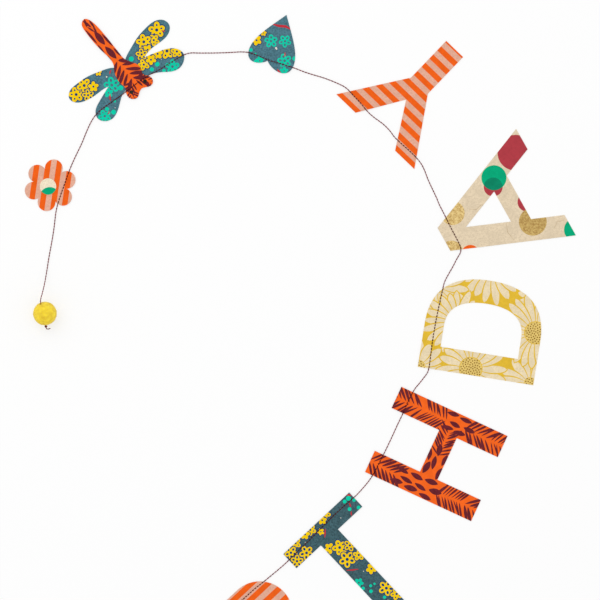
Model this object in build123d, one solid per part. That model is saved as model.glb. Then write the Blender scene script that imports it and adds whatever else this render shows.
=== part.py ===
from build123d import *
import math
import os

# A paper garland lying flat: cut paper shapes stitched on two long threads, with a felt ball at each end.
# X runs to the right and Y away from the reader, Z is up, and the table is z = 0.
# Every paper outline is drawn in its own frame, then turned to its heading and set in its place.

# Driving dimensions, in millimetres
PAPER = 0.5
DOT_PAPER = 0.3
THREAD = 0.4
AIR = 0.06

LETTER_HEIGHT = 100
STEM = 20
RAIL = 16.5

Y_WIDTH = 92.4
Y_HEIGHT = 98
Y_ARM = 22.8
Y_CROTCH = 38
Y_FORK = 54.5

A_WIDTH = 104.4
A_APEX = 22.4
A_BAR_DEPTH = 57.4
A_BAR = 16

D_WIDTH = 82.4
D_BOWL = 44.5
D_BOWL_FULLNESS = 0.66

H_WIDTH = 79.2
H_BAR_DEPTH = 42.5
H_SLIP = 2.4

T_WIDTH = 77.1

R_WIDTH = 75.3
R_BOWL_HEIGHT = 56.4
R_FOOT = 23

B_WIDTH = 68.4
B_WAIST = 50
B_UPPER_INSET = 4
ROUND_BOWL_FULLNESS = 0.5523

HEART_LENGTH = 42.5
HEART_LEFT = 22.2
HEART_RIGHT = 18.4
HEART_SHOULDER = 4.5
HEART_NOTCH_FULLNESS = (0.3, 1.5)
HEART_LOBE_FULLNESS = (1, 2)
HEART_FLANK_FULLNESS = 0.38
HEART_TIP_FULLNESS = (0.42, 0.7)

PETALS = 6
PETAL_RADIUS = 7.6
PETAL_RING_RADIUS = 14.8
FLOWER_CENTRE_RADIUS = 7

EYE_RADIUS = 1.7

BALL_RADIUS = 10
BORE = 1.5
DRILL = 4 * BALL_RADIUS
KNOT = 2.6

# Heights: the bobbin thread lies on the table, the papers on it, and the needle thread over them
PAPER_BOTTOM = THREAD + AIR
PAPER_TOP = PAPER_BOTTOM + PAPER

# Where each shape lies: x and y of its own origin, and its heading in degrees
PLACES = {
    "flower": (-214.2, 193.6, 18),
    "flower_centre": (-216, 192.5, 0),
    "dragonfly": (-153.7, 295.6, -49.6),
    "heart": (-28.4, 300, 157.5),
    "letter_y": (97.1, 207.4, 136.2),
    "letter_a": (148, 101.8, 119.3),
    "letter_d": (100, 38.5, 80.9),
    "letter_h": (54.9, -51.5, 65.1),
    "letter_t": (-14.9, -121.7, 43.1),
    "letter_r": (-88.7, -184.7, 43),
    "letter_i": (-121.6, -204.4, 32),
    "letter_b": (-203.7, -239.9, 22),
}
BALL_PLACES = {"right": (-218, 84), "left": (-218, -329)}

# The hole through each ball: where the threads go in and come out, as azimuth and height angle
BALL_ENTRY = (112.1, 25)
BALL_EXIT = (-87.4, -10)

# The dragonfly, along its body from tail to head: four wings, the body and the eyes
WING_OUTLINES = (
    (
        (2, 2), (-3, 8.5), (-6.3, 17), (-9.4, 26.5), (-11, 38), (-10.6, 46.5), (-6, 53.3),
        (0, 54.2), (4.6, 50), (6.3, 40.5), (5.6, 29.5), (7.4, 20), (9, 10),
    ),
    (
        (8, 6), (7.4, 19.5), (10.6, 30), (14.4, 39.5), (19.5, 45.6), (26.5, 47.6),
        (32.2, 42.6), (33.8, 37), (32.5, 31.5), (25.5, 21.5), (21, 12), (17, 5),
    ),
    (
        (3, -2), (-3, -6), (-8, -16.5), (-11.6, -28), (-12.8, -40), (-11.3, -48.6), (-7, -51.7),
        (-2.2, -50.4), (2.2, -44.5), (4.9, -32), (6.2, -20.5), (9, -10),
    ),
    (
        (8, -8), (6.8, -20), (8.6, -26), (11.5, -34.5), (15.6, -41.8), (21.5, -44.2),
        (27.3, -40.8), (29.6, -35), (27.8, -28), (23, -20.5), (19.3, -14), (16, -5),
    ),
)
WING_HUB = (10, 0)
WING_HUB_RADIUS = 8
BODY_OUTLINE = (
    (-50.8, 1), (-48.8, -2.5), (-42, -4.2), (-33, -4.6), (-20, -4.1), (-9.5, -3.3), (-4, -4.6),
    (-0.5, -7.2), (5, -9.3), (11, -10), (16.5, -9.3), (19.2, -10.8), (23.5, -12.5), (28, -10.8),
    (29.7, -6.5), (27.3, -2.3), (26.4, 1.5), (28.6, 6), (29.2, 10.3), (26, 13.3), (21.5, 12.2),
    (17.3, 9.9), (13.5, 11.2), (8, 11.4), (2.5, 8.4), (-2.5, 6.2), (-9, 6), (-24, 6.5),
    (-36, 6.6), (-45, 5.6), (-49.6, 3.6),
)
EYES = {"left": (23.3, 7.2), "right": (23, -7.7)}

# Where the needle thread lies, measured from the bobbin thread beside or below it
BESIDE = (-0.5, -0.1, 0)
DROPPING = (-0.45, 0, 0.25)
LANDING = (-0.3, 0, 0.4)
TOGETHER = (0, 0, THREAD + AIR)
OVER = (0, 0, PAPER_TOP + AIR)
OVER_TWO = (0, 0, PAPER_TOP + PAPER + AIR)
TABLE = THREAD / 2

# The bobbin thread's route, from the tail of the right end's ball to the tail of the left end's
ROUTE = (
    (-213.9, 71.2, 0.95, BESIDE),
    (-214.7, 70.9, 3.4, BESIDE),
    (-215.7, 70.6, 5.8, BESIDE),
    (-216.6, 70.9, 7.2, BESIDE),
    (-217.2, 73.8, 8.2, BESIDE),
    (-218.4, 79.2, 10, BESIDE),
    (-220.1, 87.3, 12.4, BESIDE),
    (-221.6, 94.5, 14.9, BESIDE),
    (-219.9, 101.5, 9.8, DROPPING),
    (-218.4, 110, 4, LANDING),
    (-217, 120.5, 0.9, TOGETHER),
    (-215.4, 131.5, TABLE, TOGETHER),
    (-212.9, 144.5, TABLE, TOGETHER),
    (-210.7, 158, TABLE, TOGETHER),
    (-209.2, 173, TABLE, OVER),
    (-205, 186, TABLE, OVER),
    (-201, 197, TABLE, OVER),
    (-197, 208.5, TABLE, OVER),
    (-192, 219.5, TABLE, TOGETHER),
    (-187, 229.5, TABLE, TOGETHER),
    (-183.3, 239.2, TABLE, TOGETHER),
    (-178.5, 249.5, TABLE, OVER),
    (-173.5, 256, TABLE, OVER),
    (-164.5, 262.8, TABLE, OVER),
    (-154.5, 269.5, TABLE, OVER_TWO),
    (-142.5, 279, TABLE, OVER_TWO),
    (-130.5, 287.5, TABLE, OVER_TWO),
    (-123.5, 290.5, TABLE, OVER),
    (-112, 298, TABLE, OVER),
    (-97.5, 307, TABLE, OVER),
    (-86, 306.5, TABLE, TOGETHER),
    (-64, 306.8, TABLE, TOGETHER),
    (-47, 308, TABLE, OVER),
    (-38, 305, TABLE, OVER),
    (-28, 300.5, TABLE, OVER),
    (-17, 297.5, TABLE, OVER),
    (-4.5, 293.5, TABLE, OVER),
    (1.5, 291, TABLE, TOGETHER),
    (10.5, 288, TABLE, TOGETHER),
    (18.5, 285.8, TABLE, TOGETHER),
    (26, 283, TABLE, TOGETHER),
    (32.5, 280.3, TABLE, TOGETHER),
    (39, 277, TABLE, OVER),
    (44.5, 270.8, TABLE, OVER),
    (51.2, 263.8, TABLE, OVER),
    (57.5, 256, TABLE, OVER),
    (63, 251.2, TABLE, TOGETHER),
    (68.5, 247.5, TABLE, TOGETHER),
    (73.2, 243.5, TABLE, TOGETHER),
    (77, 239.2, TABLE, TOGETHER),
    (80, 234.7, TABLE, OVER),
    (85.5, 229.5, TABLE, OVER),
    (92.5, 223.5, TABLE, OVER),
    (101.5, 214.5, TABLE, OVER),
    (105.5, 207.5, TABLE, TOGETHER),
    (108.5, 199, TABLE, TOGETHER),
    (112.2, 191, TABLE, TOGETHER),
    (116.3, 182.6, TABLE, TOGETHER),
    (118.3, 177, TABLE, TOGETHER),
    (121.9, 170.4, TABLE, OVER),
    (127, 159.7, TABLE, OVER),
    (133.5, 147.5, TABLE, OVER),
    (137, 140.5, TABLE, OVER),
    (136.8, 136, TABLE, OVER),
    (133.5, 131, TABLE, TOGETHER),
    (130.3, 124.3, TABLE, TOGETHER),
    (126, 117, TABLE, TOGETHER),
    (122.5, 110.5, TABLE, OVER),
    (120.9, 102.5, TABLE, OVER),
    (118, 90, TABLE, OVER),
    (114.7, 73.5, TABLE, OVER),
    (112.2, 58, TABLE, OVER),
    (110.8, 46, TABLE, OVER),
    (109.3, 34.5, TABLE, OVER),
    (105.6, 29.5, TABLE, TOGETHER),
    (101, 23.7, TABLE, TOGETHER),
    (97.5, 19.8, TABLE, OVER),
    (93, 11.5, TABLE, OVER),
    (89.2, 3, TABLE, OVER),
    (86.2, -4, TABLE, OVER),
    (82.5, -11.5, TABLE, TOGETHER),
    (77.5, -22.7, TABLE, TOGETHER),
    (71.8, -34.5, TABLE, OVER),
    (67.7, -42.5, TABLE, OVER),
    (63.8, -50.5, TABLE, OVER),
    (59.5, -57.5, TABLE, OVER),
    (55.8, -62.3, TABLE, TOGETHER),
    (51.7, -67, TABLE, TOGETHER),
    (48, -71, TABLE, OVER),
    (42, -76.3, TABLE, OVER),
    (34.8, -82.5, TABLE, OVER),
    (26, -90.7, TABLE, OVER),
    (17.3, -99.5, TABLE, OVER),
    (7, -110.2, TABLE, OVER),
    (-3.5, -120.3, TABLE, OVER),
    (-12.5, -129.2, TABLE, OVER),
    (-19, -134.9, TABLE, TOGETHER),
    (-30, -144, TABLE, OVER),
    (-38.5, -150.5, TABLE, OVER),
    (-50.3, -161.2, TABLE, OVER),
    (-67.3, -175.7, TABLE, OVER),
    (-77.5, -184, TABLE, OVER),
    (-86, -191.3, TABLE, OVER),
    (-92.5, -196.2, TABLE, TOGETHER),
    (-98.1, -199.7, TABLE, OVER),
    (-108.5, -205.9, TABLE, OVER),
    (-119.5, -212.7, TABLE, OVER),
    (-127.2, -217.2, TABLE, TOGETHER),
    (-135.3, -221.2, TABLE, OVER),
    (-150.3, -227.8, TABLE, OVER),
    (-168.2, -235.3, TABLE, OVER),
    (-188.5, -243.4, TABLE, OVER),
    (-203, -248.6, TABLE, OVER),
    (-210, -253, TABLE, TOGETHER),
    (-215.8, -259.5, TABLE, TOGETHER),
    (-218.8, -268, TABLE, TOGETHER),
    (-219.7, -279.5, TABLE, TOGETHER),
    (-219.9, -291, 0.9, TOGETHER),
    (-220.2, -302, 4, LANDING),
    (-220.7, -310.5, 9.4, DROPPING),
    (-221.6, -318.5, 14.9, BESIDE),
    (-220.1, -325.7, 12.4, BESIDE),
    (-218.4, -333.8, 10, BESIDE),
    (-217.2, -339.2, 8.2, BESIDE),
    (-216.6, -342.1, 7.2, BESIDE),
    (-215.7, -342.4, 5.8, BESIDE),
    (-214.7, -342.1, 3.4, BESIDE),
    (-213.9, -341.8, 0.95, BESIDE),
)
CORNER_SHARE = 0.45


# Outlines, each in its own frame: letters start at their top left corner and reach down

def outline(*points):
    return make_face(Polyline(*points, close=True))


def block(left, top, right, bottom):
    return outline((left, top), (right, top), (right, bottom), (left, bottom))


def bowl(left, top, width, height, round_part, fullness):
    """A flat left side, straight top and bottom, and a rounded right side."""
    straight = left + width - round_part
    right = left + width
    middle = top - height / 2
    bottom = top - height
    reach_x = round_part * fullness
    reach_y = height / 2 * fullness
    upper = Bezier((straight, top), (straight + reach_x, top), (right, middle + reach_y), (right, middle))
    lower = Bezier((right, middle), (right, middle - reach_y), (straight + reach_x, bottom), (straight, bottom))
    flat = Polyline((straight, bottom), (left, bottom), (left, top), (straight, top))
    return make_face([upper, lower, flat])


def letter_y():
    middle = Y_WIDTH / 2
    stem_left = middle - STEM / 2
    stem_right = middle + STEM / 2
    return outline(
        (0, 0),
        (Y_ARM, 0),
        (middle, -Y_CROTCH),
        (Y_WIDTH - Y_ARM, 0),
        (Y_WIDTH, 0),
        (stem_right, -Y_FORK),
        (stem_right, -Y_HEIGHT),
        (stem_left, -Y_HEIGHT),
        (stem_left, -Y_FORK),
    )


def letter_a():
    middle = A_WIDTH / 2
    spread = (A_WIDTH - A_APEX) / 2 / LETTER_HEIGHT

    def inside(depth):
        return A_APEX / 2 + spread * depth - STEM

    counter_top = (STEM - A_APEX / 2) / spread
    bar_bottom = A_BAR_DEPTH + A_BAR
    legs = outline(
        (middle - A_APEX / 2, 0),
        (middle + A_APEX / 2, 0),
        (A_WIDTH, -LETTER_HEIGHT),
        (A_WIDTH - STEM, -LETTER_HEIGHT),
        (middle + inside(bar_bottom), -bar_bottom),
        (middle - inside(bar_bottom), -bar_bottom),
        (STEM, -LETTER_HEIGHT),
        (0, -LETTER_HEIGHT),
    )
    counter = outline(
        (middle, -counter_top),
        (middle + inside(A_BAR_DEPTH), -A_BAR_DEPTH),
        (middle - inside(A_BAR_DEPTH), -A_BAR_DEPTH),
    )
    return legs - counter


def letter_d():
    outer = bowl(0, 0, D_WIDTH, LETTER_HEIGHT, D_BOWL, D_BOWL_FULLNESS)
    inner = bowl(
        STEM, -RAIL, D_WIDTH - 2 * STEM, LETTER_HEIGHT - 2 * RAIL, D_BOWL - STEM, D_BOWL_FULLNESS
    )
    return outer - inner


def letter_h():
    right_stem = H_WIDTH - STEM
    bar_bottom = H_BAR_DEPTH + RAIL
    return outline(
        (0, 0),
        (STEM, 0),
        (STEM, -H_BAR_DEPTH),
        (right_stem, -H_BAR_DEPTH),
        (right_stem, H_SLIP),
        (H_WIDTH, H_SLIP),
        (H_WIDTH, H_SLIP - LETTER_HEIGHT),
        (right_stem, H_SLIP - LETTER_HEIGHT),
        (right_stem, -bar_bottom),
        (STEM, -bar_bottom),
        (STEM, -LETTER_HEIGHT),
        (0, -LETTER_HEIGHT),
    )


def letter_t():
    stem_left = T_WIDTH / 2 - STEM / 2
    return block(0, 0, T_WIDTH, -RAIL) + block(stem_left, 0, stem_left + STEM, -LETTER_HEIGHT)


def round_bowl(left, top, width, height):
    """A bowl whose right side is a half circle, with the opening that its strokes leave."""
    outer = bowl(left, top, width, height, height / 2, ROUND_BOWL_FULLNESS)
    inner_height = height - 2 * RAIL
    inner = bowl(
        left + STEM, top - RAIL, width - 2 * STEM, inner_height, inner_height / 2, ROUND_BOWL_FULLNESS
    )
    return outer, inner


def letter_r():
    outer, inner = round_bowl(0, 0, R_WIDTH, R_BOWL_HEIGHT)
    hip = R_BOWL_HEIGHT - RAIL / 2
    leg = outline(
        (STEM, -hip),
        (R_WIDTH / 2 + STEM / 2, -hip),
        (R_WIDTH, -LETTER_HEIGHT),
        (R_WIDTH - R_FOOT, -LETTER_HEIGHT),
        (STEM + RAIL / 2, -R_BOWL_HEIGHT),
    )
    return outer + block(0, 0, STEM, -LETTER_HEIGHT) + leg - inner


def letter_i():
    return block(0, 0, STEM, -LETTER_HEIGHT)


def letter_b():
    upper_height = B_WAIST + RAIL / 2
    lower_height = LETTER_HEIGHT - B_WAIST + RAIL / 2
    upper, upper_hole = round_bowl(0, 0, B_WIDTH - B_UPPER_INSET, upper_height)
    lower, lower_hole = round_bowl(0, -LETTER_HEIGHT + lower_height, B_WIDTH, lower_height)
    return upper + lower - upper_hole - lower_hole


def heart():
    """Two lobes from the notch at the origin down to the tip, the left one a little wider."""
    edges = []
    tip = (0, -HEART_LENGTH)
    for side in (-HEART_LEFT, HEART_RIGHT):
        shoulder = (side, -HEART_SHOULDER)
        rise = (HEART_NOTCH_FULLNESS[0] * side, HEART_NOTCH_FULLNESS[1] * HEART_SHOULDER)
        crest = (HEART_LOBE_FULLNESS[0] * side, HEART_LOBE_FULLNESS[1] * HEART_SHOULDER)
        flank = (side, -HEART_FLANK_FULLNESS * HEART_LENGTH)
        taper = (HEART_TIP_FULLNESS[0] * side, -HEART_TIP_FULLNESS[1] * HEART_LENGTH)
        edges.append(Bezier((0, 0), rise, crest, shoulder))
        edges.append(Bezier(shoulder, flank, taper, tip))
    return make_face(edges)


def flower():
    """Round petals in a ring, joined by a disc that reaches the valleys between them."""
    shape = Circle(PETAL_RING_RADIUS * math.cos(math.pi / PETALS))
    for place in PolarLocations(PETAL_RING_RADIUS, PETALS):
        shape += place * Circle(PETAL_RADIUS)
    return shape


def dragonfly_wings():
    shape = Pos(*WING_HUB) * Circle(WING_HUB_RADIUS)
    for points in WING_OUTLINES:
        shape += make_face(Spline(*points, periodic=True))
    return shape


def dragonfly_body():
    return make_face(Spline(*BODY_OUTLINE, periodic=True))


# Solids

def laid(face, place, bottom=PAPER_BOTTOM, thickness=PAPER):
    """Cuts an outline from a sheet and lays it at its place."""
    x, y, heading = PLACES[place]
    return Pos(x, y, bottom) * Rot(0, 0, heading) * extrude(face, amount=thickness)


def direction(azimuth, height):
    flat = math.cos(math.radians(height))
    return Vector(
        flat * math.cos(math.radians(azimuth)),
        flat * math.sin(math.radians(azimuth)),
        math.sin(math.radians(height)),
    )


def ball_and_knot(x, y):
    """A felt ball with its needle hole, and the knot that stops it on the outer side."""
    centre = Vector(x, y, BALL_RADIUS)
    entry = direction(*BALL_ENTRY) * BALL_RADIUS
    exit_point = direction(*BALL_EXIT) * BALL_RADIUS
    along = (exit_point - entry).normalized()
    middle = (entry + exit_point) * 0.5
    seat = math.sqrt((BALL_RADIUS + KNOT / 2 + AIR) ** 2 - middle.length**2)
    hole = Plane(origin=centre + middle, z_dir=along) * Cylinder(BORE / 2, DRILL)
    ball = Pos(centre) * Sphere(BALL_RADIUS) - hole
    knot = Pos(centre + middle + along * seat) * Sphere(KNOT / 2) - hole
    return ball, knot


def corner_radii(points):
    """The largest arc that each corner's two runs allow."""
    radii = []
    for before, corner, after in zip(points, points[1:], points[2:]):
        first = corner - before
        second = after - corner
        half_turn = math.radians(first.get_angle(second)) / 2
        shorter = min(first.length, second.length)
        radii.append(CORNER_SHARE * shorter / math.tan(half_turn))
    return radii


def thread(name, points):
    radii = corner_radii(points)
    path = FilletPolyline(*points, radius=radii)
    tube = sweep(Plane(origin=path @ 0, z_dir=path % 0) * Circle(THREAD / 2), path=path)
    expected = math.pi * (THREAD / 2) ** 2 * path.length
    print(name, "length", round(path.length, 1), "volume / expected", round(tube.volume / expected, 4))
    print(name, "tightest radii", [round(r, 1) for r in sorted(radii)[:8]])
    return tube


parts = {
    "flower": laid(flower(), "flower"),
    "flower_centre": laid(Circle(FLOWER_CENTRE_RADIUS), "flower_centre", PAPER_TOP, DOT_PAPER),
    "dragonfly_wings": laid(dragonfly_wings(), "dragonfly"),
    "dragonfly_body": laid(dragonfly_body(), "dragonfly", PAPER_TOP),
    "heart": laid(heart(), "heart"),
}
for side, (along_body, across_body) in EYES.items():
    eye = Pos(along_body, across_body) * Circle(EYE_RADIUS)
    parts["dragonfly_eye_" + side] = laid(eye, "dragonfly", PAPER_TOP + PAPER, DOT_PAPER)
for draw in (letter_y, letter_a, letter_d, letter_h, letter_t, letter_r, letter_i, letter_b):
    parts[draw.__name__] = laid(draw(), draw.__name__)
for side, (x, y) in BALL_PLACES.items():
    ball, knot = ball_and_knot(x, y)
    parts["felt_ball_" + side] = ball
    parts["end_knot_" + side] = knot

bobbin_points = [Vector(x, y, z) for x, y, z, offset in ROUTE]
needle_points = [Vector(x, y, z) + Vector(*offset) for x, y, z, offset in ROUTE]
parts["bobbin_thread"] = thread("bobbin_thread", bobbin_points)
parts["needle_thread"] = thread("needle_thread", needle_points)

os.makedirs("parts", exist_ok=True)
for name, solid in parts.items():
    export_step(solid, f"parts/{name}.step")
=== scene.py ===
import math
import random

import bmesh
import bpy
from mathutils import Matrix, Vector, geometry, kdtree, noise


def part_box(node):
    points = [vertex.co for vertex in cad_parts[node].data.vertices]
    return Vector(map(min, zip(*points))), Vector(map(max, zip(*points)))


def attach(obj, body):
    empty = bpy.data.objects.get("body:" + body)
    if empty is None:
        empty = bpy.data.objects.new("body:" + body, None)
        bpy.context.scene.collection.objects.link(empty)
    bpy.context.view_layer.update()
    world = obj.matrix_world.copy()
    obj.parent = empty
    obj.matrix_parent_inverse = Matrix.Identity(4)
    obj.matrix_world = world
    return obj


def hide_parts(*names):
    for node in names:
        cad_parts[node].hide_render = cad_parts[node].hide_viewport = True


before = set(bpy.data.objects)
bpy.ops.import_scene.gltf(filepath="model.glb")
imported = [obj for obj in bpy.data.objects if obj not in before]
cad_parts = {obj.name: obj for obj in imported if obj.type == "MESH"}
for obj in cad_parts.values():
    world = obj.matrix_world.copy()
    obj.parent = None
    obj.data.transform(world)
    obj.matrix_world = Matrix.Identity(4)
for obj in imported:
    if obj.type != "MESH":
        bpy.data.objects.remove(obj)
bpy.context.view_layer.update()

MM = 0.001
random.seed(7)

# Where each paper's own frame lies: x and y in millimetres, and its heading in degrees
PLACES = {
    "flower": (-214.2, 193.6, 18),
    "flower_centre": (-216, 192.5, 0),
    "dragonfly": (-153.7, 295.6, -49.6),
    "heart": (-28.4, 300, 157.5),
    "letter_y": (97.1, 207.4, 136.2),
    "letter_a": (148, 101.8, 119.3),
    "letter_d": (100, 38.5, 80.9),
    "letter_h": (54.9, -51.5, 65.1),
    "letter_t": (-14.9, -121.7, 43.1),
    "letter_r": (-88.7, -184.7, 43),
    "letter_i": (-121.6, -204.4, 32),
    "letter_b": (-203.7, -239.9, 22),
}

# Heights in millimetres, and where the needle thread lies from the bobbin thread
THREAD = 0.4
AIR = 0.06
PAPER = 0.5
PAPER_TOP = THREAD + AIR + PAPER
TABLE = THREAD / 2
BESIDE = (-0.5, -0.1, 0)
DROPPING = (-0.45, 0, 0.25)
LANDING = (-0.3, 0, 0.4)
TOGETHER = (0, 0, THREAD + AIR)
OVER = (0, 0, PAPER_TOP + AIR)
OVER_TWO = (0, 0, PAPER_TOP + PAPER + AIR)

# The bobbin thread's route, from the right end's tail to the left end's, in stretches that say where the
# needle thread lies beside it. Points are in millimetres; one without a height lies on the table.
ROUTE = (
    (BESIDE, (
        (-213.9, 71.2, 0.95), (-214.7, 70.9, 3.4), (-215.7, 70.6, 5.8), (-216.6, 70.9, 7.2),
        (-217.2, 73.8, 8.2), (-218.4, 79.2, 10), (-220.1, 87.3, 12.4), (-221.6, 94.5, 14.9),
    )),
    (DROPPING, ((-219.9, 101.5, 9.8),)),
    (LANDING, ((-218.4, 110, 4),)),
    (TOGETHER, ((-217, 120.5, 0.9), (-215.4, 131.5), (-212.9, 144.5), (-210.7, 158))),
    (OVER, ((-209.2, 173), (-205, 186), (-201, 197), (-197, 208.5))),
    (TOGETHER, ((-192, 219.5), (-187, 229.5), (-183.3, 239.2))),
    (OVER, ((-178.5, 249.5), (-173.5, 256), (-164.5, 262.8))),
    (OVER_TWO, ((-154.5, 269.5), (-142.5, 279), (-130.5, 287.5))),
    (OVER, ((-123.5, 290.5), (-112, 298), (-97.5, 307))),
    (TOGETHER, ((-86, 306.5), (-64, 306.8))),
    (OVER, ((-47, 308), (-38, 305), (-28, 300.5), (-17, 297.5), (-4.5, 293.5))),
    (TOGETHER, ((1.5, 291), (10.5, 288), (18.5, 285.8), (26, 283), (32.5, 280.3))),
    (OVER, ((39, 277), (44.5, 270.8), (51.2, 263.8), (57.5, 256))),
    (TOGETHER, ((63, 251.2), (68.5, 247.5), (73.2, 243.5), (77, 239.2))),
    (OVER, ((80, 234.7), (85.5, 229.5), (92.5, 223.5), (101.5, 214.5))),
    (TOGETHER, ((105.5, 207.5), (108.5, 199), (112.2, 191), (116.3, 182.6), (118.3, 177))),
    (OVER, ((121.9, 170.4), (127, 159.7), (133.5, 147.5), (137, 140.5), (136.8, 136))),
    (TOGETHER, ((133.5, 131), (130.3, 124.3), (126, 117))),
    (OVER, (
        (122.5, 110.5), (120.9, 102.5), (118, 90), (114.7, 73.5), (112.2, 58), (110.8, 46),
        (109.3, 34.5),
    )),
    (TOGETHER, ((105.6, 29.5), (101, 23.7))),
    (OVER, ((97.5, 19.8), (93, 11.5), (89.2, 3), (86.2, -4))),
    (TOGETHER, ((82.5, -11.5), (77.5, -22.7))),
    (OVER, ((71.8, -34.5), (67.7, -42.5), (63.8, -50.5), (59.5, -57.5))),
    (TOGETHER, ((55.8, -62.3), (51.7, -67))),
    (OVER, (
        (48, -71), (42, -76.3), (34.8, -82.5), (26, -90.7), (17.3, -99.5), (7, -110.2), (-3.5, -120.3),
        (-12.5, -129.2),
    )),
    (TOGETHER, ((-19, -134.9),)),
    (OVER, (
        (-30, -144), (-38.5, -150.5), (-50.3, -161.2), (-67.3, -175.7), (-77.5, -184), (-86, -191.3),
    )),
    (TOGETHER, ((-92.5, -196.2),)),
    (OVER, ((-98.1, -199.7), (-108.5, -205.9), (-119.5, -212.7))),
    (TOGETHER, ((-127.2, -217.2),)),
    (OVER, ((-135.3, -221.2), (-150.3, -227.8), (-168.2, -235.3), (-188.5, -243.4), (-203, -248.6))),
    (TOGETHER, ((-210, -253), (-215.8, -259.5), (-218.8, -268), (-219.7, -279.5), (-219.9, -291, 0.9))),
    (LANDING, ((-220.2, -302, 4),)),
    (DROPPING, ((-220.7, -310.5, 9.4),)),
    (BESIDE, (
        (-221.6, -318.5, 14.9), (-220.1, -325.7, 12.4), (-218.4, -333.8, 10), (-217.2, -339.2, 8.2),
        (-216.6, -342.1, 7.2), (-215.7, -342.4, 5.8), (-214.7, -342.1, 3.4), (-213.9, -341.8, 0.95),
    )),
)

# Stitches in the papers, and the twist of the two threads between them, in millimetres
STEP = 0.3
SIDES = 12
PLIES = 3
STITCH = 2.6
STITCH_DIP = 0.78
STITCH_HOLE = 0.8
THREAD_FUZZ = 0.05
PRESSED = 0.75
STEEP = 0.3
TWIST_PITCH = 5.2
TWIST_RADIUS = 0.26
TWIST_START = 2.4
EDGE_STEPS = 4
BOBBIN_RISE = 0.12
PLY_PITCH = 1.3
PLY_RELIEF = 0.16
STRAND = THREAD / 2 + THREAD_FUZZ

# The papers' mesh, and how they lie: held up at the seam, lower and faintly curled away from it
GRID = 3
GRID_START = (0.37, 0.41)
EDGE_STEP = 1.2
SAG = 0.34
SAG_REACH = 16
CURL = 0.5
CURL_SIZE = 45
CURL_LEAST = -0.1
BUCKLE = 0.25
BUCKLE_SIZE = 11
CRINKLE = 0.05
CRINKLE_SIZE = 5

# What the photograph's frame covers, in millimetres, and the camera's height in metres
FRAME_WIDTH = 513
FRAME_CENTRE = (-0.64, 95.5)
CAMERA_HEIGHT = 3.0
SENSOR = 36


# Colours are written as a screen shows them, from 0 to 255

def linear(colour):
    out = []
    for value in colour:
        share = value / 255
        out.append(share / 12.92 if share <= 0.04045 else ((share + 0.055) / 1.055) ** 2.4)
    return (*out, 1)


THREAD_DARK = (94, 24, 32)
THREAD_LIGHT = (144, 68, 75)
# The pale speck in the eyes' dark ink: painted glints
EYE_GLINT = (120, 112, 100)


# Materials: noise by its scale in a metre, bumps by their depth in metres, shades as shares of a colour

LIGHTER = 1.03
DARKER = 0.95
SOFT = (0.35, 0.65)
ALONG = (1, 0.12, 1)
ACROSS = (0.12, 1, 1)
TOOTH_DEPTH = 0.0001
STRAND_DEPTH = 0.00003
FLAKE_DEPTH = 0.00006
WISP_DEPTH = 0.0001
MAT_DEPTH = 0.00016
PLY_DEPTH = 0.00004
DULL = 0.06


class Nodes:
    """The nodes of one material, and short ways to add more."""

    def __init__(self, name):
        self.material = bpy.data.materials.new(name)
        self.material.use_nodes = True
        self.tree = self.material.node_tree
        self.shader = self.tree.nodes["Principled BSDF"]
        self.coords = self.tree.nodes.new("ShaderNodeTexCoord").outputs["Object"]

    def feed(self, node, inputs):
        """Set each input of a node to a value, or link it to another node's output."""
        for name, value in inputs.items():
            if isinstance(value, bpy.types.NodeSocket):
                self.tree.links.new(value, node.inputs[name])
            else:
                node.inputs[name].default_value = value
        return node

    def add(self, kind, inputs):
        """The first output of a new node."""
        return self.feed(self.tree.nodes.new("ShaderNode" + kind), inputs).outputs[0]

    def surface(self, inputs):
        """The material, once its shader is fed."""
        self.feed(self.shader, inputs)
        return self.material

    def noise(self, scale, detail=3, roughness=0.55, stretch=(1, 1, 1), turn=0):
        turned = (0, 0, math.radians(turn))
        place = self.add("Mapping", {"Vector": self.coords, "Scale": stretch, "Rotation": turned})
        values = {"Vector": place, "Scale": scale, "Detail": detail, "Roughness": roughness}
        return self.add("TexNoise", values)

    def cells(self, scale):
        return self.add("TexVoronoi", {"Vector": self.coords, "Scale": scale})

    def ramp(self, source, low, high, start=0.0, end=1.0):
        values = {"Value": source, "From Min": low, "From Max": high, "To Min": start, "To Max": end}
        return self.add("MapRange", values)

    def mix(self, share, first, second):
        colours = [linear(value) if isinstance(value, tuple) else value for value in (first, second)]
        node = self.tree.nodes.new("ShaderNodeMix")
        node.data_type = "RGBA"
        self.feed(node, {"Factor": share, "A": colours[0], "B": colours[1]})
        return node.outputs["Result"]

    def bump(self, source, depth, under=None):
        values = {"Height": source, "Distance": depth}
        if under is not None:
            values["Normal"] = under
        return self.add("Bump", values)


def shaded(colour, share):
    return tuple(min(255, value * share) for value in colour)


def paper_tooth(nodes):
    """The cloudy, fibrous surface of a handmade sheet, as a bump."""
    clouds = nodes.noise(150, 4, 0.6)
    strands = nodes.noise(420, 2, 0.5, ALONG, turn=25)
    crossing = nodes.noise(420, 2, 0.5, ACROSS, turn=-20)
    normal = nodes.bump(clouds, TOOTH_DEPTH)
    normal = nodes.bump(strands, STRAND_DEPTH, normal)
    return nodes.bump(crossing, STRAND_DEPTH, normal)


def matte(nodes, base, roughness, normal):
    """A material that hardly shines, as paper, wool and cotton do, from its colour and bumps."""
    look = {"Base Color": base, "Roughness": roughness, "Specular IOR Level": DULL, "Normal": normal}
    return nodes.surface(look)


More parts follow.
